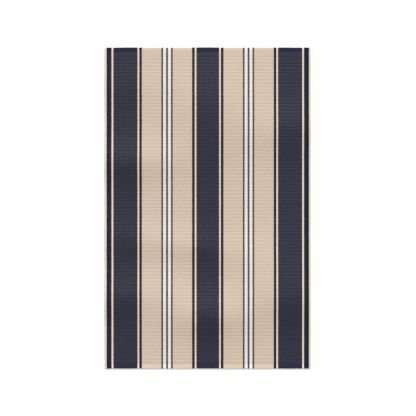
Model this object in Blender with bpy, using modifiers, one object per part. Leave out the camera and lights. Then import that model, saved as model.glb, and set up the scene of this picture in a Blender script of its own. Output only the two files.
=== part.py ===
"""A waffle-weave golf towel lying flat on its back, its striped face up.

Frame, in metres: the origin is the middle of the underside, +X runs across the width, +Y along
the length and +Z up out of the face.

The cloth is a waffle-woven field inside a plain-woven margin. Each margin is turned twice to the
back as a hem, and each hem is held by one lockstitched seam: a needle thread along the face and
a bobbin thread along the back. A hem's section is drawn once, in (inwards, up) coordinates that
start at the towel's edge, and is placed on all four sides.
"""

import math

import bpy

MM = 0.001

# The hemmed towel.
WIDTH = 406.4 * MM
LENGTH = 635.0 * MM

# The cloth.
FIELD_THICKNESS = 2.0 * MM  # of the waffle weave, from ridge to ridge
FIELD_EDGE_ROUND = 0.2 * MM
PLY = 0.7 * MM  # the plain-woven margin
PLY_GAP = 0.1 * MM  # air between two plies of a hem
JOIN_GAP = 0.3 * MM  # between pieces that meet edge to edge

# The hems.
HEM_WIDTH = 9.0 * MM
RAW_EDGE_GAP = 0.4 * MM  # from the tucked raw edge to the turn in front of it

# The seams.
SEAM_TO_FIELD = 1.6 * MM  # from the stitching line to the hem's inner end
NEEDLE_THREAD = 0.40 * MM
BOBBIN_THREAD = 0.30 * MM
THREAD_CLEARANCE = 0.1 * MM  # round a thread in its groove
NEEDLE_DEPTH = 0.05 * MM  # from the hem's face down to the needle thread's middle
BOBBIN_ABOVE_BACK = 0.05 * MM  # the bobbin thread stays this far inside the back
SEAM_END_INSET = 1.0 * MM  # a seam stops this far short of its hem's end

# Straight pieces in a half turn.
FOLD_STEPS = 10
GROOVE_STEPS = 6
THREAD_BEVEL_RESOLUTION = 2

# Heights of the plies' middles in a hem, from the back up.
PLY_PITCH = PLY + PLY_GAP
BACK_PLY = PLY / 2
TUCKED_PLY = BACK_PLY + PLY_PITCH
FACE_PLY = TUCKED_PLY + PLY_PITCH
HEM_THICKNESS = FACE_PLY + PLY / 2

# The threads' middles, inwards from the towel's edge and up from its back.
SEAM_INSET = HEM_WIDTH - SEAM_TO_FIELD
NEEDLE_HEIGHT = HEM_THICKNESS - NEEDLE_DEPTH
BOBBIN_HEIGHT = BOBBIN_ABOVE_BACK + BOBBIN_THREAD / 2

# The field, and so the hems down the long sides, run between the end hems.
FIELD_WIDTH = WIDTH - 2 * (HEM_WIDTH + JOIN_GAP)
FIELD_LENGTH = LENGTH - 2 * (HEM_WIDTH + JOIN_GAP)

# Each side's inward heading in degrees, the middle of its edge, and its hem's length.
SIDES = {
    "top": (-90, (0, LENGTH / 2, 0), WIDTH),
    "bottom": (90, (0, -LENGTH / 2, 0), WIDTH),
    "left": (0, (-WIDTH / 2, 0, 0), FIELD_LENGTH),
    "right": (180, (WIDTH / 2, 0, 0), FIELD_LENGTH),
}


def clear_scene():
    for obj in list(bpy.data.objects):
        bpy.data.objects.remove(obj, do_unlink=True)


def material(name, colour, roughness):
    made = bpy.data.materials.new(name)
    made.use_nodes = True
    shader = made.node_tree.nodes["Principled BSDF"]
    shader.inputs["Base Color"].default_value = (*colour, 1)
    shader.inputs["Roughness"].default_value = roughness
    shader.inputs["Metallic"].default_value = 0
    return made


def add_to_towel(obj, towel, parent, finish):
    """Puts a made object in the towel's collection, under its parent, in its material."""
    for collection in obj.users_collection:
        collection.objects.unlink(obj)
    towel.objects.link(obj)
    obj.parent = parent
    obj.data.materials.clear()
    obj.data.materials.append(finish)


def half_turn(centre, radius, start, sweep, steps):
    """Points on a half circle about centre, from the angle start, in degrees."""
    points = []
    for i in range(steps + 1):
        angle = math.radians(start + sweep * i / steps)
        points.append((centre[0] + radius * math.cos(angle), centre[1] + radius * math.sin(angle)))
    return points


def groove(surface, thread_height, thread_diameter):
    """The U-shaped groove from that surface round a seam's thread, from its edge side inwards."""
    radius = thread_diameter / 2 + THREAD_CLEARANCE
    sweep = 180 if thread_height < surface else -180
    floor = half_turn((SEAM_INSET, thread_height), radius, 180, sweep, GROOVE_STEPS)
    return [(SEAM_INSET - radius, surface), *floor, (SEAM_INSET + radius, surface)]


def hem_section():
    """The outline of a margin turned twice to the back, as (inwards, up) points.

    It goes round the outside of the turned ply first, from the face ply's inner end to the raw
    edge, and then back along the inside.
    """
    half_ply = PLY / 2
    edge_turn_radius = PLY_PITCH  # of the ply's middle where the hem wraps the edge
    edge_turn_centre = (edge_turn_radius + half_ply, TUCKED_PLY)
    inner_turn_radius = PLY_PITCH / 2
    inner_turn_centre = (HEM_WIDTH - inner_turn_radius - half_ply, BACK_PLY + inner_turn_radius)
    raw_edge = edge_turn_centre[0] + RAW_EDGE_GAP

    face_groove = groove(HEM_THICKNESS, NEEDLE_HEIGHT, NEEDLE_THREAD)
    back_groove = groove(0, BOBBIN_HEIGHT, BOBBIN_THREAD)

    outside = [(HEM_WIDTH, HEM_THICKNESS), *reversed(face_groove)]
    outside += half_turn(edge_turn_centre, edge_turn_radius + half_ply, 90, 180, FOLD_STEPS)
    outside += back_groove
    outside += half_turn(inner_turn_centre, inner_turn_radius + half_ply, -90, 180, FOLD_STEPS)
    outside += [(raw_edge, TUCKED_PLY + half_ply)]

    inside = [(raw_edge, TUCKED_PLY - half_ply)]
    inside += half_turn(inner_turn_centre, inner_turn_radius - half_ply, 90, -180, GROOVE_STEPS)
    inside += half_turn(edge_turn_centre, edge_turn_radius - half_ply, 270, -180, FOLD_STEPS)
    inside += [(HEM_WIDTH, FACE_PLY - half_ply)]
    return outside + inside


def curve_object(name, dimensions, points, closed):
    """A curve with one straight-sided spline through the points."""
    curve = bpy.data.curves.new(name, "CURVE")
    curve.dimensions = dimensions
    spline = curve.splines.new("POLY")
    spline.points.add(len(points) - 1)
    for place, point in zip(spline.points, points, strict=True):
        place.co = (*point, 1)
    spline.use_cyclic_u = closed
    return bpy.data.objects.new(name, curve)


def place_on_side(obj, side):
    """Turns (inwards, up, along) coordinates onto one side of the towel."""
    heading, edge_middle, _ = SIDES[side]
    obj.location = edge_middle
    obj.rotation_euler = (math.radians(90), 0, math.radians(heading))


def make_field(towel, parent, finish):
    """The waffle-woven middle, between the hems."""
    bpy.ops.mesh.primitive_cube_add(size=1, location=(0, 0, FIELD_THICKNESS / 2))
    field = bpy.context.object
    field.name = "waffle_field"
    field.scale = (FIELD_WIDTH, FIELD_LENGTH, FIELD_THICKNESS)
    bpy.ops.object.transform_apply(location=False, rotation=False, scale=True)
    rounded = field.modifiers.new("soft edges", "BEVEL")
    rounded.width = FIELD_EDGE_ROUND
    rounded.segments = 2
    add_to_towel(field, towel, parent, finish)


def make_hem(side, towel, parent, finish):
    """One hem: its section, extruded along its side."""
    run = SIDES[side][2]
    hem = curve_object(f"{side}_hem", "2D", [(*point, 0) for point in hem_section()], closed=True)
    hem.data.fill_mode = "BOTH"
    hem.data.extrude = run / 2
    place_on_side(hem, side)
    add_to_towel(hem, towel, parent, finish)


def make_thread(side, use, height, diameter, towel, parent, finish):
    """One thread of a seam, lying in its groove."""
    half_run = SIDES[side][2] / 2 - SEAM_END_INSET
    ends = [(SEAM_INSET, height, -half_run), (SEAM_INSET, height, half_run)]
    thread = curve_object(f"{side}_{use}_thread", "3D", ends, closed=False)
    thread.data.bevel_depth = diameter / 2
    thread.data.bevel_resolution = THREAD_BEVEL_RESOLUTION
    thread.data.use_fill_caps = True
    place_on_side(thread, side)
    add_to_towel(thread, towel, parent, finish)


def main():
    clear_scene()
    towel = bpy.data.collections.new("golf_towel")
    bpy.context.scene.collection.children.link(towel)
    origin = bpy.data.objects.new("towel_origin", None)
    towel.objects.link(origin)

    waffle_cloth = material("waffle cloth", (0.64, 0.53, 0.42), 0.95)
    hem_cloth = material("hem cloth", (0.70, 0.58, 0.46), 0.9)
    seam_thread = material("seam thread", (0.03, 0.034, 0.05), 0.7)

    make_field(towel, origin, waffle_cloth)
    for side in SIDES:
        make_hem(side, towel, origin, hem_cloth)
        make_thread(side, "needle", NEEDLE_HEIGHT, NEEDLE_THREAD, towel, origin, seam_thread)
        make_thread(side, "bobbin", BOBBIN_HEIGHT, BOBBIN_THREAD, towel, origin, seam_thread)


main()
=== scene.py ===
"""The looks of a striped waffle-weave golf towel, lying face up on a white table.

The cloth is undyed polyester, hemmed first and then printed on its face. So the stripes run over
the field, the hems and the needle threads alike, and the back is undyed, with the stripes showing
faintly through. Every piece is made flat and then laid on the table by one function, which gives
them all the same ripples.

Lengths are in metres, in the towel's own frame: +X across, +Y along, +Z out of the face.
"""

import math

import bmesh
import bpy
import numpy as np
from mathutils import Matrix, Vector


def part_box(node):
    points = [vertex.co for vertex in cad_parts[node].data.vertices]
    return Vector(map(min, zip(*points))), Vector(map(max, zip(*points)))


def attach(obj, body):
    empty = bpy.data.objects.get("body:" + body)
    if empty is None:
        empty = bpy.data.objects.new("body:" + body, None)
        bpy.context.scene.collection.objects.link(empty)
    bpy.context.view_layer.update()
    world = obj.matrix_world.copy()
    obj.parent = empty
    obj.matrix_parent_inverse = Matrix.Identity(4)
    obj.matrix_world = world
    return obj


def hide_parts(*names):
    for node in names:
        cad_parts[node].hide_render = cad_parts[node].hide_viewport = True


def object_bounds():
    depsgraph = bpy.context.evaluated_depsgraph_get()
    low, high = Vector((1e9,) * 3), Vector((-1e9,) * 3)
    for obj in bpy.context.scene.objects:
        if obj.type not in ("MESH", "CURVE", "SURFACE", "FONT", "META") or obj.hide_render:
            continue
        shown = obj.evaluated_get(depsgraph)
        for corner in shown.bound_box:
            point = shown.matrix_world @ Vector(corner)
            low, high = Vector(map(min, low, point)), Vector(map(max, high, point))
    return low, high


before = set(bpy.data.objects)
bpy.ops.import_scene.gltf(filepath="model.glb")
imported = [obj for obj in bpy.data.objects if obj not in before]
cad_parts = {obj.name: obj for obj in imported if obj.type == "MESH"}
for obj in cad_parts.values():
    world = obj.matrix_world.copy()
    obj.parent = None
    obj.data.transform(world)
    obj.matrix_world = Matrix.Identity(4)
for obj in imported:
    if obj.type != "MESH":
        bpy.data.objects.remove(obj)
CAD_LOW, CAD_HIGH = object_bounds()

MM = 0.001

# The towel, as the frame has it.
HALF_WIDTH = CAD_HIGH.x
HALF_LENGTH = CAD_HIGH.y
FIELD_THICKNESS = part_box("waffle_field")[1].z
HEM_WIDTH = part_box("left_hem")[1].x + HALF_WIDTH
HEM_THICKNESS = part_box("left_hem")[1].z
SIDE_HEM_RUN = 2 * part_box("left_hem")[1].y
END_HEM_RUN = 2 * HALF_WIDTH

# The weave. A cell of the waffle is a well between ridges, and the back's ridges cross behind
# the middle of the face's wells.
CELLS_ACROSS = 59
CELLS_ALONG = 93
WELL_DEPTH = 0.34 * MM
WELL_FLOOR = 0.40  # of a cell
UPRIGHT_DROP = 0.24 * MM  # of the upright ridges below the level ones
UNEVENNESS = 0.05 * MM  # of the cloth's surface, from cell to cell
FIELD_TUCK = 0.3 * MM  # of the field under the hem's inner end
EDGE_THICKNESS = 1.8 * MM  # of the field where it goes under the hem
PATCH_SCALE = 0.7  # swings of the unevenness a cell
PATCH_LEVEL = 0.35  # of its noise, below which the cloth is even
YARNS_PER_CELL = 10
FLOAT_CHANGE = 12  # how sharply upright floats give way to level ones
FLOAT_REACH = 0.3  # of a cell, from a ridge to the plain weave of the well
WELL_CHANGE = 8  # how sharply it starts
YARN_HEIGHT = 0.10 * MM
PLAIN_YARN_PITCH = 0.5 * MM

# The hems.
PLY = 0.7 * MM
PLY_GAP = (HEM_THICKNESS - 3 * PLY) / 2
RAW_EDGE_GAP = 0.4 * MM
INNER_TURN_INSET = 0.45 * MM
CORNER_RADIUS = 2.6 * MM
FULLNESS_START = 15 * MM  # from a hem's end, over which its fold grows full
FULLNESS_REACH = 2.6 * MM  # inwards from a hem's fold, as far as it is full
SIDE_FULLNESS = 0.5 * MM  # of the side hems' folds, past the towel's edge
HEM_PUFF = 0.035  # of a hem's thickness, which swells and sinks along it
PUFF_LENGTH = 9 * MM

# The seams.
SEAM_INSET = HALF_WIDTH + (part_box("left_needle_thread")[0].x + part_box("left_needle_thread")[1].x) / 2
STITCH = 2.8 * MM
STITCH_REACH = 0.46  # of a stitch's length, from its middle to where its thread goes in
STITCH_SLANT = math.radians(4)
SLANT_WANDER = 0.035  # radians either way, from stitch to stitch
THREAD_HEIGHT = 0.04 * MM  # of a sewing thread's plies
THREAD_TWIST = 0.3 * MM  # from one groove of its twist to the next
SEAM_END_INSET = 1.0 * MM
SEAM_PINCH = 0.16  # of the hem's thickness, along the whole seam
HOLE_PINCH = 0.12  # and this much more at each needle hole
PINCH_REACH = 0.75 * MM

# A seam's two threads: the diameter, how high the middle of a stitch is, how far that is above its
# ends, and the dye. The stitches of the bobbin thread hang down, so their ends are the higher.
NEEDLE_THREAD = (0.40 * MM, 2.02 * MM, 0.30 * MM, 0.92)
BOBBIN_THREAD = (0.30 * MM, 0.30 * MM, -0.20 * MM, 0.05)

# The stripes from the middle of the towel outwards, the same to the left and to the right: the
# ink and its width. The first is half of the middle stripe, and the last runs out over the edge.
STRIPES = (
    ("navy", 22.45 * MM),
    ("pale tan", 3.25 * MM),
    ("deep navy", 5.25 * MM),
    ("tan", 38.2 * MM),
    ("slate", 3.6 * MM),
    ("white", 5.8 * MM),
    ("slate", 3.85 * MM),
    ("white", 5.7 * MM),
    ("slate", 3.6 * MM),
    ("tan", 38.4 * MM),
    ("deep navy", 5.2 * MM),
    ("pale tan", 3.3 * MM),
    ("navy", 47.85 * MM),
    ("pale tan", 3.4 * MM),
    ("deep navy", 9.7 * MM),
    ("tan", 7.0 * MM),
)
PRINT_SHIFT = 0.62 * MM  # of the stripes to the right of the towel's middle
INKS = {
    "navy": (0.0109, 0.0134, 0.0286),
    "deep navy": (0.0050, 0.0067, 0.0195),
    "slate": (0.0560, 0.0500, 0.0520),
    "tan": (0.503, 0.413, 0.321),
    "pale tan": (0.625, 0.520, 0.405),
    "white": (0.635, 0.610, 0.585),
}
# The undyed cloth's grey, darkened as painted shade so that the unprinted rims at the left and the
# bottom look shaded; the back takes it too.
UNDYED_AND_SHADE_GREY = (0.57, 0.565, 0.555)
FIELD_INK = 1.0  # times the inks' colours, on the waffle
HEM_INK_PAINTED_LIGHT = 1.16  # and on the flat hems and the threads, brighter as painted light: a lit copy of the inks beside the waffle's shade
INK_BLEED = 0.5 * MM  # by which the stripes' edges wander
PRINT_UNEVENNESS = 0.014
WELL_FADING = 0.005  # of the print, down in the wells
SHOW_THROUGH = 0.10  # of the print, on the back
UNPRINTED_SHADE_RIM_LEFT = 1.5 * MM  # the rims that the print missed, whose grey is also painted shade along the left and the bottom edges
UNPRINTED_SHADE_RIM_BOTTOM = 1.2 * MM
PRINT_EDGE = 0.4 * MM  # over which the print starts, beside them

# The finish of the yarns.
BLEED_GRAIN = 900  # swings a metre, as are the next two
PRINT_GRAIN = 160
FUZZ_GRAIN = 2600
YARN_SHADE = 0.10  # painted shade: how much darker the colour is made between two yarns
FUZZ_SHADE = 0.10
FUZZ_HEIGHT = 0.5  # of a yarn's
YARN_RELIEF = 0.8  # how strongly the yarns' height turns the light
ROUGHNESS = 0.50  # to which the fuzz and a slanting view add
FUZZ_ROUGHNESS = 0.14
SLANTING_ROUGHNESS = 0.42
WAFFLE_GLOSS = 0.30
PLAIN_GLOSS = 0.12
SHEEN = 0.04
SHEEN_ROUGHNESS = 0.5

# The ripples that are left in the towel, in millimetres: middle x and y, half length across, half
# width along and height, and then the turn in degrees.
RIPPLES = (
    (-150, 91, 75, 28, 5.6, 3),
    (-150, -62, 70, 22, 2.4, 0),
    (-160, -177, 70, 26, 4.4, 4),
    (-160, 240, 70, 25, 1.6, 0),
    (15, 195, 70, 66, 7.0, -2),
    (-30, -77, 55, 20, 2.6, -2),
    (0, -212, 68, 29, 6.8, 1),
    (60, -95, 35, 25, 1.4, 0),
    (165, 155, 60, 34, 5.0, 3),
    (130, -125, 50, 45, 4.2, -4),
    (165, -182, 65, 33, 5.4, -4),
)
RIPPLE_END = 26 * MM  # from the bottom edge, where the ripples start to flatten
LONG_WANDER = 0.13 * MM  # of the cloth's threads, across and along
SHORT_WANDER = 0.09 * MM

# The table, the light and the camera.
TABLE_SIZE = 12
TABLE_DROP = 0.05 * MM  # below the towel
TABLE_WHITE = 0.36
TABLE_GLOW = 0.64
ROOM_RADIUS = 6
ROOM_GLOW = 1.1
ROOM_LIGHT = 0.40
WINDOW_LIGHT = 4.7
WINDOW_SPREAD = 24  # degrees
WINDOW_FROM = (0.06, 1.0, 0.80)
LENS = 200
SEEN_WIDTH = 0.8216  # of the table, from side to side of the view
VIEW_MIDDLE = (1.04 * MM, 0.55 * MM)  # right of the towel's middle and beyond it


class Wire:
    """A number that comes out of a node. Arithmetic on it adds Math nodes to its tree."""

    def __init__(self, tree, socket):
        self.tree = tree
        self.socket = socket

    def __add__(self, other):
        return self.tree.math("ADD", self, other)

    def __sub__(self, other):
        return self.tree.math("SUBTRACT", self, other)

    def __rsub__(self, other):
        return self.tree.math("SUBTRACT", other, self)

    def __mul__(self, other):
        return self.tree.math("MULTIPLY", self, other)

    def __truediv__(self, other):
        return self.tree.math("DIVIDE", self, other)

    __radd__ = __add__
    __rmul__ = __mul__


class Tree:
    """A node tree under construction, of a material or of geometry nodes."""

    def __init__(self, tree):
        self.tree = tree

    def node(self, kind, settings=None, inputs=None):
        """Adds a node: its settings first, then what its sockets hold or are linked to."""
        made = self.tree.nodes.new(kind)
        for name, value in (settings or {}).items():
            setattr(made, name, value)
        for key, value in (inputs or {}).items():
            self.feed(made.inputs[key], value)
        return made

    def wire(self, kind, settings=None, inputs=None, output=0):
        """Adds a node and gives one of its outputs."""
        return Wire(self, self.node(kind, settings, inputs).outputs[output])

    def math(self, operation, *values):
        return self.wire("ShaderNodeMath", {"operation": operation}, dict(enumerate(values)))

    def feed(self, socket, value):
        if isinstance(value, Wire):
            self.tree.links.new(value.socket, socket)
        else:
            socket.default_value = value

    def noise(self, place, scale, detail):
        """Soft noise between 0 and 1, with about that many swings a metre."""
        given = {"Vector": place, "Scale": scale, "Detail": detail}
        return self.wire("ShaderNodeTexNoise", inputs=given)

    def mix(self, factor, first, second, blend="MIX"):
        """A colour between two, or the two multiplied."""
        return self.wire(
            "ShaderNodeMix",
            {"data_type": "RGBA", "blend_type": blend},
            {"Factor": factor, "A": first, "B": second},
            output="Result",
        )


# Materials ------------------------------------------------------------------------------------


def ink_colour(ink, gain):
    red, green, blue = INKS[ink]
    return red * gain, green * gain, blue * gain, 1


def stripe_colour(tree, across, ink_gain):
    """The ink at a distance from the middle of the stripes."""
    colour = ink_colour(STRIPES[0][0], ink_gain)
    edge = 0
    for (_, width), (ink, _) in zip(STRIPES[:-1], STRIPES[1:], strict=True):
        edge += width
        past = tree.math("GREATER_THAN", across, edge)
        colour = tree.mix(past, colour, ink_colour(ink, ink_gain))
    return colour


def printed_colour(tree, ink_gain):
    """The undyed cloth under its print, its grey darkened as painted shade for the rims: colour by
    Object X, strength by the piece's own dye.
    """
    place = tree.wire("ShaderNodeTexCoord", output="Object")
    x = tree.wire("ShaderNodeSeparateXYZ", inputs={0: place}, output="X")
    bleed = tree.noise(place, BLEED_GRAIN, 2)
    across = tree.math("ABSOLUTE", x - PRINT_SHIFT + (bleed - 0.5) * INK_BLEED)
    ink = stripe_colour(tree, across, ink_gain)
    dye = tree.wire("ShaderNodeAttribute", {"attribute_name": "dye"}, output="Fac")
    uneven = 1 - PRINT_UNEVENNESS / 2 + PRINT_UNEVENNESS * tree.noise(place, PRINT_GRAIN, 4)
    strength = tree.math("MINIMUM", dye * uneven, 1.0)
    return tree.mix(strength, (*UNDYED_AND_SHADE_GREY, 1), ink)


def weave_coordinates(tree):
    """The piece's own weave attribute: yarns or cells counted across and along."""
    weave = tree.wire("ShaderNodeAttribute", {"attribute_name": "weave"}, output="Vector")
    split = tree.node("ShaderNodeSeparateXYZ", inputs={0: weave})
    return Wire(tree, split.outputs["X"]), Wire(tree, split.outputs["Y"])


def rounded_yarns(tree, count):
    """A row of round yarns side by side: 0 between two of them and 1 on top of one."""
    return tree.math("ABSOLUTE", tree.math("SINE", count * math.pi))


def waffle_yarns(tree):
    """Floats along the nearest ridge, and plain weave on the floor of each well."""
    across, along = weave_coordinates(tree)
    from_upright = tree.math("PINGPONG", across, 0.5)
    from_level = tree.math("PINGPONG", along, 0.5)
    nearer_upright = tree.math("MULTIPLY_ADD", from_level - from_upright, FLOAT_CHANGE, 0.5)
    upright_float = tree.math("MINIMUM", tree.math("MAXIMUM", nearer_upright, 0), 1)
    upright = rounded_yarns(tree, across * YARNS_PER_CELL)
    level = rounded_yarns(tree, along * YARNS_PER_CELL)
    floats = upright * upright_float + level * (1 - upright_float)
    from_ridge = tree.math("MINIMUM", from_upright, from_level)
    past_floats = tree.math("MAXIMUM", (from_ridge - FLOAT_REACH) * WELL_CHANGE, 0)
    in_well = tree.math("SMOOTH_MIN", past_floats, 1, 0.1)
    return floats * (1 - in_well) + upright * level * in_well


def plain_yarns(tree):
    """Yarns that pass over and under one another by turns."""
    across, along = weave_coordinates(tree)
    warp_turn = along - 0.5 + tree.math("FLOOR", across)
    weft_turn = across - 0.5 + tree.math("FLOOR", along)
    warp_lift = 0.5 + 0.5 * tree.math("COSINE", warp_turn * math.pi)
    weft_lift = 0.5 - 0.5 * tree.math("COSINE", weft_turn * math.pi)
    warp = rounded_yarns(tree, across) * warp_lift
    weft = rounded_yarns(tree, along) * weft_lift
    return tree.math("MAXIMUM", warp, weft)


def twisted_yarns(tree):
    """The plies of a sewing thread, as slanting grooves."""
    place = tree.wire("ShaderNodeTexCoord", output="Object")
    split = tree.node("ShaderNodeSeparateXYZ", inputs={0: place})
    slant = Wire(tree, split.outputs["X"]) + Wire(tree, split.outputs["Y"])
    return rounded_yarns(tree, slant / THREAD_TWIST)


def cloth_material(name, yarns, yarn_height, ink_gain, gloss):
    """Matte printed polyester whose yarns are drawn by the given function.

    The shader's gloss and sheen are plain numbers, and its roughness grows where the cloth slants
    away.
    """
    material = bpy.data.materials.new(name)
    material.use_nodes = True
    tree = Tree(material.node_tree)
    shader = material.node_tree.nodes["Principled BSDF"]
    height = yarns(tree)
    place = tree.wire("ShaderNodeTexCoord", output="Object")
    fuzz = tree.noise(place, FUZZ_GRAIN, 3)
    # Painted shade between the yarns, darker where they are low, and a random tone from the fuzz, both
    # multiplied into the print's colour.
    yarn_shade_and_fuzz_tone = 1 - YARN_SHADE + YARN_SHADE * height + FUZZ_SHADE * (fuzz - 0.5)
    grey = tree.wire("ShaderNodeCombineColor", inputs={0: yarn_shade_and_fuzz_tone, 1: yarn_shade_and_fuzz_tone, 2: yarn_shade_and_fuzz_tone})
    colour = tree.mix(1.0, printed_colour(tree, ink_gain), grey, "MULTIPLY")
    slanting = tree.wire("ShaderNodeLayerWeight", inputs={"Blend": 0.5}, output="Facing")
    roughness = ROUGHNESS + FUZZ_ROUGHNESS * fuzz + SLANTING_ROUGHNESS * slanting
    relief = height + FUZZ_HEIGHT * fuzz
    normal = tree.wire(
        "ShaderNodeBump", inputs={"Strength": YARN_RELIEF, "Distance": yarn_height, "Height": relief}
    )
    tree.feed(shader.inputs["Base Color"], colour)
    tree.feed(shader.inputs["Roughness"], roughness)
    tree.feed(shader.inputs["Normal"], normal)
    shader.inputs["Specular IOR Level"].default_value = gloss
    shader.inputs["Sheen Weight"].default_value = SHEEN
    shader.inputs["Sheen Roughness"].default_value = SHEEN_ROUGHNESS
    return material


# The waffle field -----------------------------------------------------------------------------


def group_with_inputs(name, inputs):
    """A geometry node group, with its named inputs: name, socket type and value."""
    group = bpy.data.node_groups.new(name, "GeometryNodeTree")
    for label, kind, value in inputs:
        socket = group.interface.new_socket(label, in_out="INPUT", socket_type=kind)
        if value is not None:
            socket.default_value = value
    group.interface.new_socket("Geometry", in_out="OUTPUT", socket_type="NodeSocketGeometry")
    tree = Tree(group)
    entry = tree.node("NodeGroupInput")
    wires = {label: Wire(tree, entry.outputs[label]) for label, _, _ in inputs}
    return tree, wires


def finish_group(tree, geometry, material):
    """Ends a geometry tree in real geometry with its material."""
    real = tree.wire("GeometryNodeRealizeInstances", inputs={0: geometry})
    done = tree.wire("GeometryNodeSetMaterial", inputs={0: real, "Material": material})
    tree.node("NodeGroupOutput", inputs={0: done})


def made_by(name, tree, values):
    """The plain mesh object that a geometry node group makes with those inputs."""
    maker = bpy.data.objects.new(name, bpy.data.meshes.new(name))
    bpy.context.scene.collection.objects.link(maker)
    modifier = maker.modifiers.new("made", "NODES")
    modifier.node_group = tree.tree
    for item in tree.tree.interface.items_tree:
        if item.in_out == "INPUT" and item.name in values:
            modifier[item.identifier] = values[item.name]
    graph = bpy.context.evaluated_depsgraph_get()
    mesh = bpy.data.meshes.new_from_object(maker.evaluated_get(graph))
    maker.modifiers.remove(modifier)
    maker.data = mesh
    mesh.name = name
    return maker


def waffle_tree():
    """Two sheets of cells, face and back, whose rims are joined afterwards.

    Each cell has three lines of points each way. On the face they are its ridge and the two edges
    of the well's floor. On the back the lines are half a cell further on.
    """
    tree, given = group_with_inputs(
        "waffle cloth",
        (
            ("Width", "NodeSocketFloat", 2 * (HALF_WIDTH - HEM_WIDTH + FIELD_TUCK)),
            ("Length", "NodeSocketFloat", 2 * (HALF_LENGTH - HEM_WIDTH + FIELD_TUCK)),
            ("Cells Across", "NodeSocketInt", CELLS_ACROSS),
            ("Cells Along", "NodeSocketInt", CELLS_ALONG),
            ("Thickness", "NodeSocketFloat", FIELD_THICKNESS),
            ("Edge Thickness", "NodeSocketFloat", EDGE_THICKNESS),
            ("Well Depth", "NodeSocketFloat", WELL_DEPTH),
            ("Well Floor", "NodeSocketFloat", WELL_FLOOR),
            ("Upright Drop", "NodeSocketFloat", UPRIGHT_DROP),
            ("Unevenness", "NodeSocketFloat", UNEVENNESS),
            ("Material", "NodeSocketMaterial", None),
        ),
    )
    lines_across = given["Cells Across"] * 3
    lines_along = given["Cells Along"] * 3
    grid = tree.wire(
        "GeometryNodeMeshGrid",
        inputs={
            "Size X": 1.0,
            "Size Y": 1.0,
            "Vertices X": lines_across + 1,
            "Vertices Y": lines_along + 1,
        },
    )
    index = tree.wire("GeometryNodeInputIndex")
    column = tree.math("FLOOR", (index + 0.5) / (lines_along + 1))
    row = index - column * (lines_along + 1)

    def sheet(face):
        """One side of the cloth, with its cells, its weave coordinates and its dye."""
        half_floor = given["Well Floor"] / 2

        def place(line, lines):
            """A line's place in cells, whether it is a ridge, and whether it is the sheet's edge."""
            cell = tree.math("FLOOR", (line + 0.5) / 3)
            turn = line - cell * 3
            first = tree.math("COMPARE", turn, 0, 0.1)
            second = tree.math("COMPARE", turn, 1, 0.1)
            third = tree.math("COMPARE", turn, 2, 0.1)
            if face:
                at = cell + second * (0.5 - half_floor) + third * (0.5 + half_floor)
            else:
                at = cell + (second - first) * half_floor + third * 0.5
            at = tree.math("MINIMUM", tree.math("MAXIMUM", at, 0), lines / 3)
            last = tree.math("COMPARE", line, lines, 0.1)
            at = at * (1 - last) + last * (lines / 3)
            on_ridge = first if face else third
            at_edge = tree.math("MAXIMUM", tree.math("COMPARE", line, 0, 0.1), last)
            return at, on_ridge, at_edge

        across, upright, side_edge = place(column, lines_across)
        along, level, end_edge = place(row, lines_along)
        on_ridge = tree.math("MAXIMUM", upright, level)
        edge = tree.math("MAXIMUM", side_edge, end_edge)
        between = upright * given["Upright Drop"] + (1 - upright) * given["Well Depth"]
        sunk = (1 - level) * between
        at_edge = (given["Thickness"] - given["Edge Thickness"]) / 2
        cell_place = tree.wire("ShaderNodeCombineXYZ", inputs={0: across, 1: along})
        patchy = tree.wire("ShaderNodeTexNoise", inputs={"Vector": cell_place, "Scale": PATCH_SCALE})
        sunk = sunk + tree.math("MAXIMUM", patchy - PATCH_LEVEL, 0) * given["Unevenness"]
        sunk = sunk * (1 - edge) + edge * at_edge
        z = given["Thickness"] - sunk if face else sunk
        x = (across / given["Cells Across"] - 0.5) * given["Width"]
        y = (along / given["Cells Along"] - 0.5) * given["Length"]
        spot = tree.wire("ShaderNodeCombineXYZ", inputs={0: x, 1: y, 2: z})
        moved = tree.wire("GeometryNodeSetPosition", inputs={0: grid, "Position": spot})
        half = 0 if face else 0.5
        cells = tree.wire("ShaderNodeCombineXYZ", inputs={0: across + half, 1: along + half, 2: 0})
        named = tree.wire(
            "GeometryNodeStoreNamedAttribute",
            {"data_type": "FLOAT_VECTOR", "domain": "POINT"},
            {"Geometry": moved, "Name": "weave", "Value": cells},
        )
        dye = 1 - WELL_FADING * (1 - on_ridge) if face else SHOW_THROUGH
        dyed = tree.wire(
            "GeometryNodeStoreNamedAttribute",
            {"data_type": "FLOAT", "domain": "POINT"},
            {"Geometry": named, "Name": "dye", "Value": dye},
        )
        return tree.wire("GeometryNodeTriangulate", {"quad_method": "LONGEST_DIAGONAL"}, {0: dyed})

    back = tree.wire("GeometryNodeFlipFaces", inputs={0: sheet(face=False)})
    both = tree.node("GeometryNodeJoinGeometry")
    for side in (sheet(face=True), back):
        tree.tree.links.new(side.socket, both.inputs[0])
    smooth = tree.wire("GeometryNodeSetShadeSmooth", inputs={0: Wire(tree, both.outputs[0])})
    finish_group(tree, smooth, given["Material"])
    return tree


def close_rim(mesh):
    """Bridges the borders of the two sheets."""
    work = bmesh.new()
    work.from_mesh(mesh)
    border = [edge for edge in work.edges if edge.is_boundary]
    bmesh.ops.bridge_loops(work, edges=border)
    bmesh.ops.recalc_face_normals(work, faces=work.faces)
    bmesh.ops.triangulate(work, faces=[face for face in work.faces if len(face.verts) > 3])
    work.to_mesh(mesh)
    work.free()
    mesh.shade_smooth()


def make_field(material):
    field = made_by("waffle_cloth", waffle_tree(), {"Material": material})
    close_rim(field.data)
    return field


# The hems -------------------------------------------------------------------------------------


def arc(centre, radius, start, end, steps):
    """Points (inwards, up) on an arc about centre, between two angles in degrees."""
    angles = np.radians(np.linspace(start, end, steps + 1))
    return [(centre[0] + radius * math.cos(a), centre[1] + radius * math.sin(a)) for a in angles]


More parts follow.
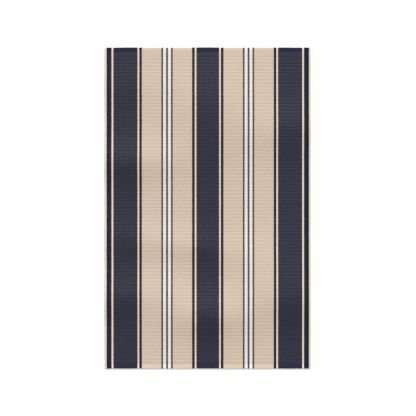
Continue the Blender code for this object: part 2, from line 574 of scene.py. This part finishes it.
def hem_middle_line():
    """The middle of the turned ply, as (inwards, up), from the field round to the raw edge."""
    pitch = PLY + PLY_GAP
    back = PLY / 2
    tucked = back + pitch
    face = tucked + pitch
    edge_centre = (pitch + PLY / 2, tucked)
    inner_centre = (HEM_WIDTH - INNER_TURN_INSET - pitch / 2 - PLY / 2, back + pitch / 2)
    # It leaves the waffle a little low, rises to the seam that holds it, and runs on to the fold.
    face_stretch = [
        (HEM_WIDTH + 0.15 * MM, face - 0.42 * MM),
        (HEM_WIDTH - 0.25 * MM, face - 0.16 * MM),
        (HEM_WIDTH - 0.7 * MM, face - 0.03 * MM),
        (SEAM_INSET + 0.5 * MM, face),
        (SEAM_INSET, face),
        (SEAM_INSET - 0.5 * MM, face),
        (SEAM_INSET - 1.2 * MM, face),
        (HEM_WIDTH / 2, face),
        (FULLNESS_REACH, face),
        (FULLNESS_REACH - 0.5 * MM, face),
        (FULLNESS_REACH - 0.9 * MM, face),
    ]
    back_stretch = [
        (FULLNESS_REACH, back),
        (HEM_WIDTH / 2, back),
        (SEAM_INSET - 0.6 * MM, back),
        (SEAM_INSET, back),
    ]
    raw_end = (edge_centre[0] + RAW_EDGE_GAP, tucked)
    edge_turn = arc(edge_centre, pitch, 90, 270, 9)
    inner_turn = arc(inner_centre, pitch / 2, -90, 90, 5)
    return np.array([*face_stretch, *edge_turn, *back_stretch, *inner_turn, raw_end])


def hem_section():
    """The ply's outline as (inwards, up), and each of its points' distance along the ply."""
    line = hem_middle_line()
    tangent = np.gradient(line, axis=0)
    tangent /= np.linalg.norm(tangent, axis=1)[:, None]
    outward = np.stack([tangent[:, 1], -tangent[:, 0]], axis=1)
    outside = line + outward * PLY / 2
    inside = line - outward * PLY / 2
    along = np.concatenate([[0], np.cumsum(np.linalg.norm(np.diff(line, axis=0), axis=1))])
    outline = np.concatenate([outside, inside[::-1]])
    reach = np.concatenate([along, along[::-1]])
    return outline, reach


def smooth_noise(along, wavelength, seed):
    """A gentle wander between -1 and 1 along a length."""
    draw = np.random.default_rng(seed)
    knots = np.arange(along.min() - wavelength, along.max() + 2 * wavelength, wavelength)
    heights = draw.uniform(-1, 1, len(knots))
    place = (along - knots[0]) / wavelength
    left = np.floor(place).astype(int)
    share = place - left
    share = share * share * (3 - 2 * share)
    return heights[left] * (1 - share) + heights[left + 1] * share


def seam_holes(run):
    """The places of the needle holes along a hem, from its middle."""
    length = run - 2 * SEAM_END_INSET
    count = round(length / STITCH)
    return np.linspace(-length / 2, length / 2, count + 1)


def hem_stations(run):
    """Where a hem's sections stand along it, and how hard each is pinched by the seam."""
    holes = seam_holes(run)
    middles = (holes[1:] + holes[:-1]) / 2
    stations = np.sort(np.concatenate([holes, middles, [-run / 2, run / 2]]))
    pinch = np.full(len(stations), SEAM_PINCH)
    pinch[np.isin(stations, holes)] += HOLE_PINCH
    pinch[[0, -1]] = 0
    return stations, pinch


def print_strength(mesh, on_face):
    """Full on the face, but for the unprinted rims at the left and the bottom, which are partly painted
    shade along those edges, and faint on the back.
    """
    x, y, _ = coordinates(mesh).T
    from_left = x + HALF_WIDTH - UNPRINTED_SHADE_RIM_LEFT
    from_bottom = y + HALF_LENGTH - UNPRINTED_SHADE_RIM_BOTTOM
    covered = np.clip(np.minimum(from_left, from_bottom) / PRINT_EDGE, 0, 1)
    return SHOW_THROUGH + (1 - SHOW_THROUGH) * covered * on_face


def make_hem(side, run, seed, fullness, material):
    """One hem, in (inwards, up) sections along its run, placed on its side."""
    outline, reach = hem_section()
    stations, pinch = hem_stations(run)
    puff = smooth_noise(stations, PUFF_LENGTH, seed)
    rows = len(stations)
    points = len(outline)
    inwards = np.broadcast_to(outline[:, 0], (rows, points)).copy()
    up = np.broadcast_to(outline[:, 1], (rows, points)).copy()
    near_seam = np.exp(-(((inwards - SEAM_INSET) / PINCH_REACH) ** 2))
    middle = HEM_THICKNESS / 2
    squeeze = 1 - pinch[:, None] * near_seam + HEM_PUFF * puff[:, None] * (1 - near_seam)
    up = np.maximum(middle + (up - middle) * squeeze, 0)
    along = np.broadcast_to(stations[:, None], (rows, points))
    loose = np.clip((run / 2 - np.abs(along)) / FULLNESS_START, 0, 1)
    inwards -= fullness * loose * np.clip(1 - inwards / FULLNESS_REACH, 0, 1)
    vertices = np.stack([along, inwards, up], axis=2).reshape(-1, 3)
    index = np.arange(rows * points).reshape(rows, points)
    first = index[:-1]
    second = index[1:]
    quads = np.stack([first, np.roll(first, -1, 1), np.roll(second, -1, 1), second], axis=2)
    half = points // 2
    pairs = np.arange(half - 1)
    start_cap = np.stack([pairs, points - 1 - pairs, points - 2 - pairs, pairs + 1], axis=1)
    end_cap = start_cap[:, ::-1] + index[-1, 0]
    faces = np.concatenate([quads.reshape(-1, 4), start_cap, end_cap])
    mesh = bpy.data.meshes.new(f"{side}_folded_hem")
    mesh.from_pydata(vertices.tolist(), [], faces.tolist())
    around = np.broadcast_to(reach, (rows, points))
    weave = np.stack([along, around, np.zeros((rows, points))], axis=2) / PLAIN_YARN_PITCH
    store(mesh, "weave", "FLOAT_VECTOR", weave.reshape(-1))
    mesh.materials.append(material)
    hem = bpy.data.objects.new(mesh.name, mesh)
    bpy.context.scene.collection.objects.link(hem)
    face_outwards(mesh)
    mesh.shade_smooth()
    put_on_side(mesh, side)
    store(mesh, "dye", "FLOAT", print_strength(mesh, (up > middle).reshape(-1)))
    return hem


def store(mesh, name, kind, values):
    field = "vector" if kind == "FLOAT_VECTOR" else "value"
    attribute = mesh.attributes.new(name, kind, "POINT")
    attribute.data.foreach_set(field, np.ascontiguousarray(values, np.float32))


def face_outwards(mesh):
    work = bmesh.new()
    work.from_mesh(mesh)
    bmesh.ops.recalc_face_normals(work, faces=work.faces)
    work.to_mesh(mesh)
    work.free()


def coordinates(mesh):
    flat = np.empty(len(mesh.vertices) * 3, np.float32)
    mesh.vertices.foreach_get("co", flat)
    return flat.reshape(-1, 3).astype(float)


def set_coordinates(mesh, points):
    mesh.vertices.foreach_set("co", np.ascontiguousarray(points, np.float32).reshape(-1))
    mesh.update()


def put_on_side(mesh, side):
    """Takes (along, inwards, up) to that side of the towel. The piece isn't mirrored by it."""
    along, inwards, up = coordinates(mesh).T
    places = {
        "bottom": (along, inwards - HALF_LENGTH),
        "top": (-along, HALF_LENGTH - inwards),
        "left": (inwards - HALF_WIDTH, -along),
        "right": (HALF_WIDTH - inwards, along),
    }
    x, y = places[side]
    set_coordinates(mesh, np.stack([x, y, up], axis=1))


# The seams ------------------------------------------------------------------------------------


def seam_tree():
    """A row of lockstitches along X: each is a short arch of thread between two holes."""
    tree, given = group_with_inputs(
        "lockstitch seam",
        (
            ("Run", "NodeSocketFloat", END_HEM_RUN),
            ("Stitches", "NodeSocketInt", round(END_HEM_RUN / STITCH)),
            ("Thread Radius", "NodeSocketFloat", NEEDLE_THREAD[0] / 2),
            ("Rise", "NodeSocketFloat", NEEDLE_THREAD[2]),
            ("Slant", "NodeSocketFloat", STITCH_SLANT),
            ("Seed", "NodeSocketInt", 1),
            ("Dye", "NodeSocketFloat", 1.0),
            ("Material", "NodeSocketMaterial", None),
        ),
    )
    stitch = given["Run"] / given["Stitches"]
    start = tree.wire("ShaderNodeCombineXYZ", inputs={0: (stitch - given["Run"]) / 2})
    step = tree.wire("ShaderNodeCombineXYZ", inputs={0: stitch})
    row = tree.wire(
        "GeometryNodeMeshLine",
        {"mode": "OFFSET"},
        {"Count": given["Stitches"], "Start Location": start, "Offset": step},
    )
    down = given["Rise"] * -1
    left = tree.wire("ShaderNodeCombineXYZ", inputs={0: stitch * -STITCH_REACH, 2: down})
    right = tree.wire("ShaderNodeCombineXYZ", inputs={0: stitch * STITCH_REACH, 2: down})
    top = tree.wire("ShaderNodeCombineXYZ", inputs={2: given["Rise"]})
    arch = tree.wire(
        "GeometryNodeCurveQuadraticBezier",
        inputs={"Resolution": 6, "Start": left, "Middle": top, "End": right},
    )
    ring = tree.wire(
        "GeometryNodeCurvePrimitiveCircle", inputs={"Resolution": 6, "Radius": given["Thread Radius"]}
    )
    thread = tree.wire(
        "GeometryNodeCurveToMesh", inputs={"Curve": arch, "Profile Curve": ring, "Fill Caps": True}
    )
    least = given["Slant"] - SLANT_WANDER
    most = given["Slant"] + SLANT_WANDER
    wander = tree.wire(
        "FunctionNodeRandomValue",
        {"data_type": "FLOAT"},
        {2: least, 3: most, "Seed": given["Seed"]},
        output=1,
    )
    turn = tree.wire("ShaderNodeCombineXYZ", inputs={2: wander})
    turned = tree.wire("FunctionNodeEulerToRotation", inputs={0: turn})
    stitches = tree.wire(
        "GeometryNodeInstanceOnPoints", inputs={"Points": row, "Instance": thread, "Rotation": turned}
    )
    real = tree.wire("GeometryNodeRealizeInstances", inputs={0: stitches})
    dyed = tree.wire(
        "GeometryNodeStoreNamedAttribute",
        {"data_type": "FLOAT", "domain": "POINT"},
        {"Geometry": real, "Name": "dye", "Value": given["Dye"]},
    )
    smooth = tree.wire("GeometryNodeSetShadeSmooth", inputs={0: dyed})
    finish_group(tree, smooth, given["Material"])
    return tree


def make_seam_thread(name, side, run, tree, seed, sizes, material):
    """A needle or bobbin thread all along a hem's seam, with the sizes of that thread."""
    diameter, height, arch, dye = sizes
    holes = seam_holes(run)
    thread = made_by(
        name,
        tree,
        {
            "Run": float(holes[-1] - holes[0]),
            "Stitches": len(holes) - 1,
            "Thread Radius": diameter / 2,
            "Rise": arch,
            "Seed": seed,
            "Dye": dye,
            "Material": material,
        },
    )
    points = coordinates(thread.data)
    points[:, 1] += SEAM_INSET
    points[:, 2] += height
    set_coordinates(thread.data, points)
    put_on_side(thread.data, side)
    return thread


# Laying it on the table -----------------------------------------------------------------------


def rise(x, y):
    """How far the ripples lift the cloth off the table."""
    lift = np.zeros_like(x)
    for middle_x, middle_y, half_length, half_width, height, turn in RIPPLES:
        angle = math.radians(turn)
        from_x = x - middle_x * MM
        from_y = y - middle_y * MM
        across = from_x * math.cos(angle) + from_y * math.sin(angle)
        along = from_y * math.cos(angle) - from_x * math.sin(angle)
        spread = (across / (half_length * MM)) ** 2 + (along / (half_width * MM)) ** 2
        lift += height * MM * np.exp(-spread / 2)
    from_bottom = np.clip((y + HALF_LENGTH) / RIPPLE_END, 0, 1)
    return lift * from_bottom * (2 - from_bottom)


def rounded_corners(x, y):
    """Draws the square corners in to round ones."""
    over_x = np.clip(np.abs(x) - (HALF_WIDTH - CORNER_RADIUS), 0, CORNER_RADIUS)
    over_y = np.clip(np.abs(y) - (HALF_LENGTH - CORNER_RADIUS), 0, CORNER_RADIUS)
    less_x = over_x * (1 - np.sqrt(1 - (over_y / CORNER_RADIUS) ** 2 / 2))
    less_y = over_y * (1 - np.sqrt(1 - (over_x / CORNER_RADIUS) ** 2 / 2))
    return x - np.sign(x) * less_x, y - np.sign(y) * less_y


def pulled(x, y):
    """Cloth is never quite square: its threads wander a little across and along."""
    aside = LONG_WANDER * np.sin(y / (23 * MM) + 0.8)
    aside += SHORT_WANDER * np.sin(y / (9.1 * MM) + x / (60 * MM))
    ahead = LONG_WANDER * np.sin(x / (19 * MM) + 2.1)
    ahead += SHORT_WANDER * np.sin(x / (8.3 * MM) - y / (70 * MM))
    return x + aside, y + ahead


def lay(piece):
    """Lays a flat piece on the table with the rest of the towel."""
    x, y, z = coordinates(piece.data).T
    x, y = rounded_corners(x, y)
    x, y = pulled(x, y)
    set_coordinates(piece.data, np.stack([x, y, z + rise(x, y)], axis=1))


# The towel ------------------------------------------------------------------------------------

waffle_cloth = cloth_material("printed waffle cloth", waffle_yarns, YARN_HEIGHT, FIELD_INK, WAFFLE_GLOSS)
hem_cloth = cloth_material("printed plain cloth", plain_yarns, YARN_HEIGHT, HEM_INK_PAINTED_LIGHT, PLAIN_GLOSS)
sewing_thread = cloth_material("sewing thread", twisted_yarns, THREAD_HEIGHT, HEM_INK_PAINTED_LIGHT, PLAIN_GLOSS)

field = make_field(waffle_cloth)
lay(field)
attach(field, "root")
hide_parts("waffle_field")

seams = seam_tree()
SIDES = (
    ("top", END_HEM_RUN, 0),
    ("bottom", END_HEM_RUN, 0),
    ("left", SIDE_HEM_RUN, SIDE_FULLNESS),
    ("right", SIDE_HEM_RUN, SIDE_FULLNESS),
)
for seed, (side, run, fullness) in enumerate(SIDES):
    hem = make_hem(side, run, seed, fullness, hem_cloth)
    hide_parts(f"{side}_hem")
    needle = make_seam_thread(
        f"{side}_needle_stitches", side, run, seams, seed, NEEDLE_THREAD, sewing_thread
    )
    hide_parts(f"{side}_needle_thread")
    bobbin = make_seam_thread(
        f"{side}_bobbin_stitches", side, run, seams, seed + 9, BOBBIN_THREAD, sewing_thread
    )
    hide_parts(f"{side}_bobbin_thread")
    for piece in (hem, needle, bobbin):
        lay(piece)
        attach(piece, "root")


# The table, the light and the camera ----------------------------------------------------------


def make_table():
    bpy.ops.mesh.primitive_plane_add(size=TABLE_SIZE, location=(0, 0, -TABLE_DROP))
    table = bpy.context.object
    table.name = "table"
    white = bpy.data.materials.new("white table")
    white.use_nodes = True
    shader = white.node_tree.nodes["Principled BSDF"]
    shader.inputs["Base Color"].default_value = (TABLE_WHITE, TABLE_WHITE, TABLE_WHITE, 1)
    shader.inputs["Roughness"].default_value = 0.9
    shader.inputs["Specular IOR Level"].default_value = 0.0
    shader.inputs["Emission Color"].default_value = (1, 1, 1, 1)
    shader.inputs["Emission Strength"].default_value = TABLE_GLOW
    table.data.materials.append(white)


def make_backdrop():
    """A white room round the table, which is seen but lights nothing."""
    bpy.ops.mesh.primitive_uv_sphere_add(segments=32, ring_count=16, radius=ROOM_RADIUS)
    room = bpy.context.object
    room.name = "white_room"
    glow = bpy.data.materials.new("white room")
    glow.use_nodes = True
    shader = glow.node_tree.nodes["Principled BSDF"]
    shader.inputs["Base Color"].default_value = (0, 0, 0, 1)
    shader.inputs["Emission Color"].default_value = (1, 1, 1, 1)
    shader.inputs["Emission Strength"].default_value = ROOM_GLOW
    room.data.materials.append(glow)
    room.visible_diffuse = False
    room.visible_glossy = False
    room.visible_shadow = False


def make_light():
    world = bpy.data.worlds.new("soft room")
    world.use_nodes = True
    world.node_tree.nodes["Background"].inputs["Color"].default_value = (1, 1, 1, 1)
    world.node_tree.nodes["Background"].inputs["Strength"].default_value = ROOM_LIGHT
    bpy.context.scene.world = world
    lamp = bpy.data.lights.new("window", "SUN")
    lamp.energy = WINDOW_LIGHT
    lamp.angle = math.radians(WINDOW_SPREAD)
    window = bpy.data.objects.new("window", lamp)
    bpy.context.scene.collection.objects.link(window)
    window.rotation_euler = Vector(WINDOW_FROM).to_track_quat("Z", "Y").to_euler()


def make_camera():
    data = bpy.data.cameras.new("camera")
    data.lens = LENS
    camera = bpy.data.objects.new("camera", data)
    bpy.context.scene.collection.objects.link(camera)
    camera.location = (*VIEW_MIDDLE, SEEN_WIDTH * LENS / data.sensor_width)
    bpy.context.scene.camera = camera


make_table()
make_backdrop()
make_light()
make_camera()
bpy.context.scene.view_settings.view_transform = "Standard"
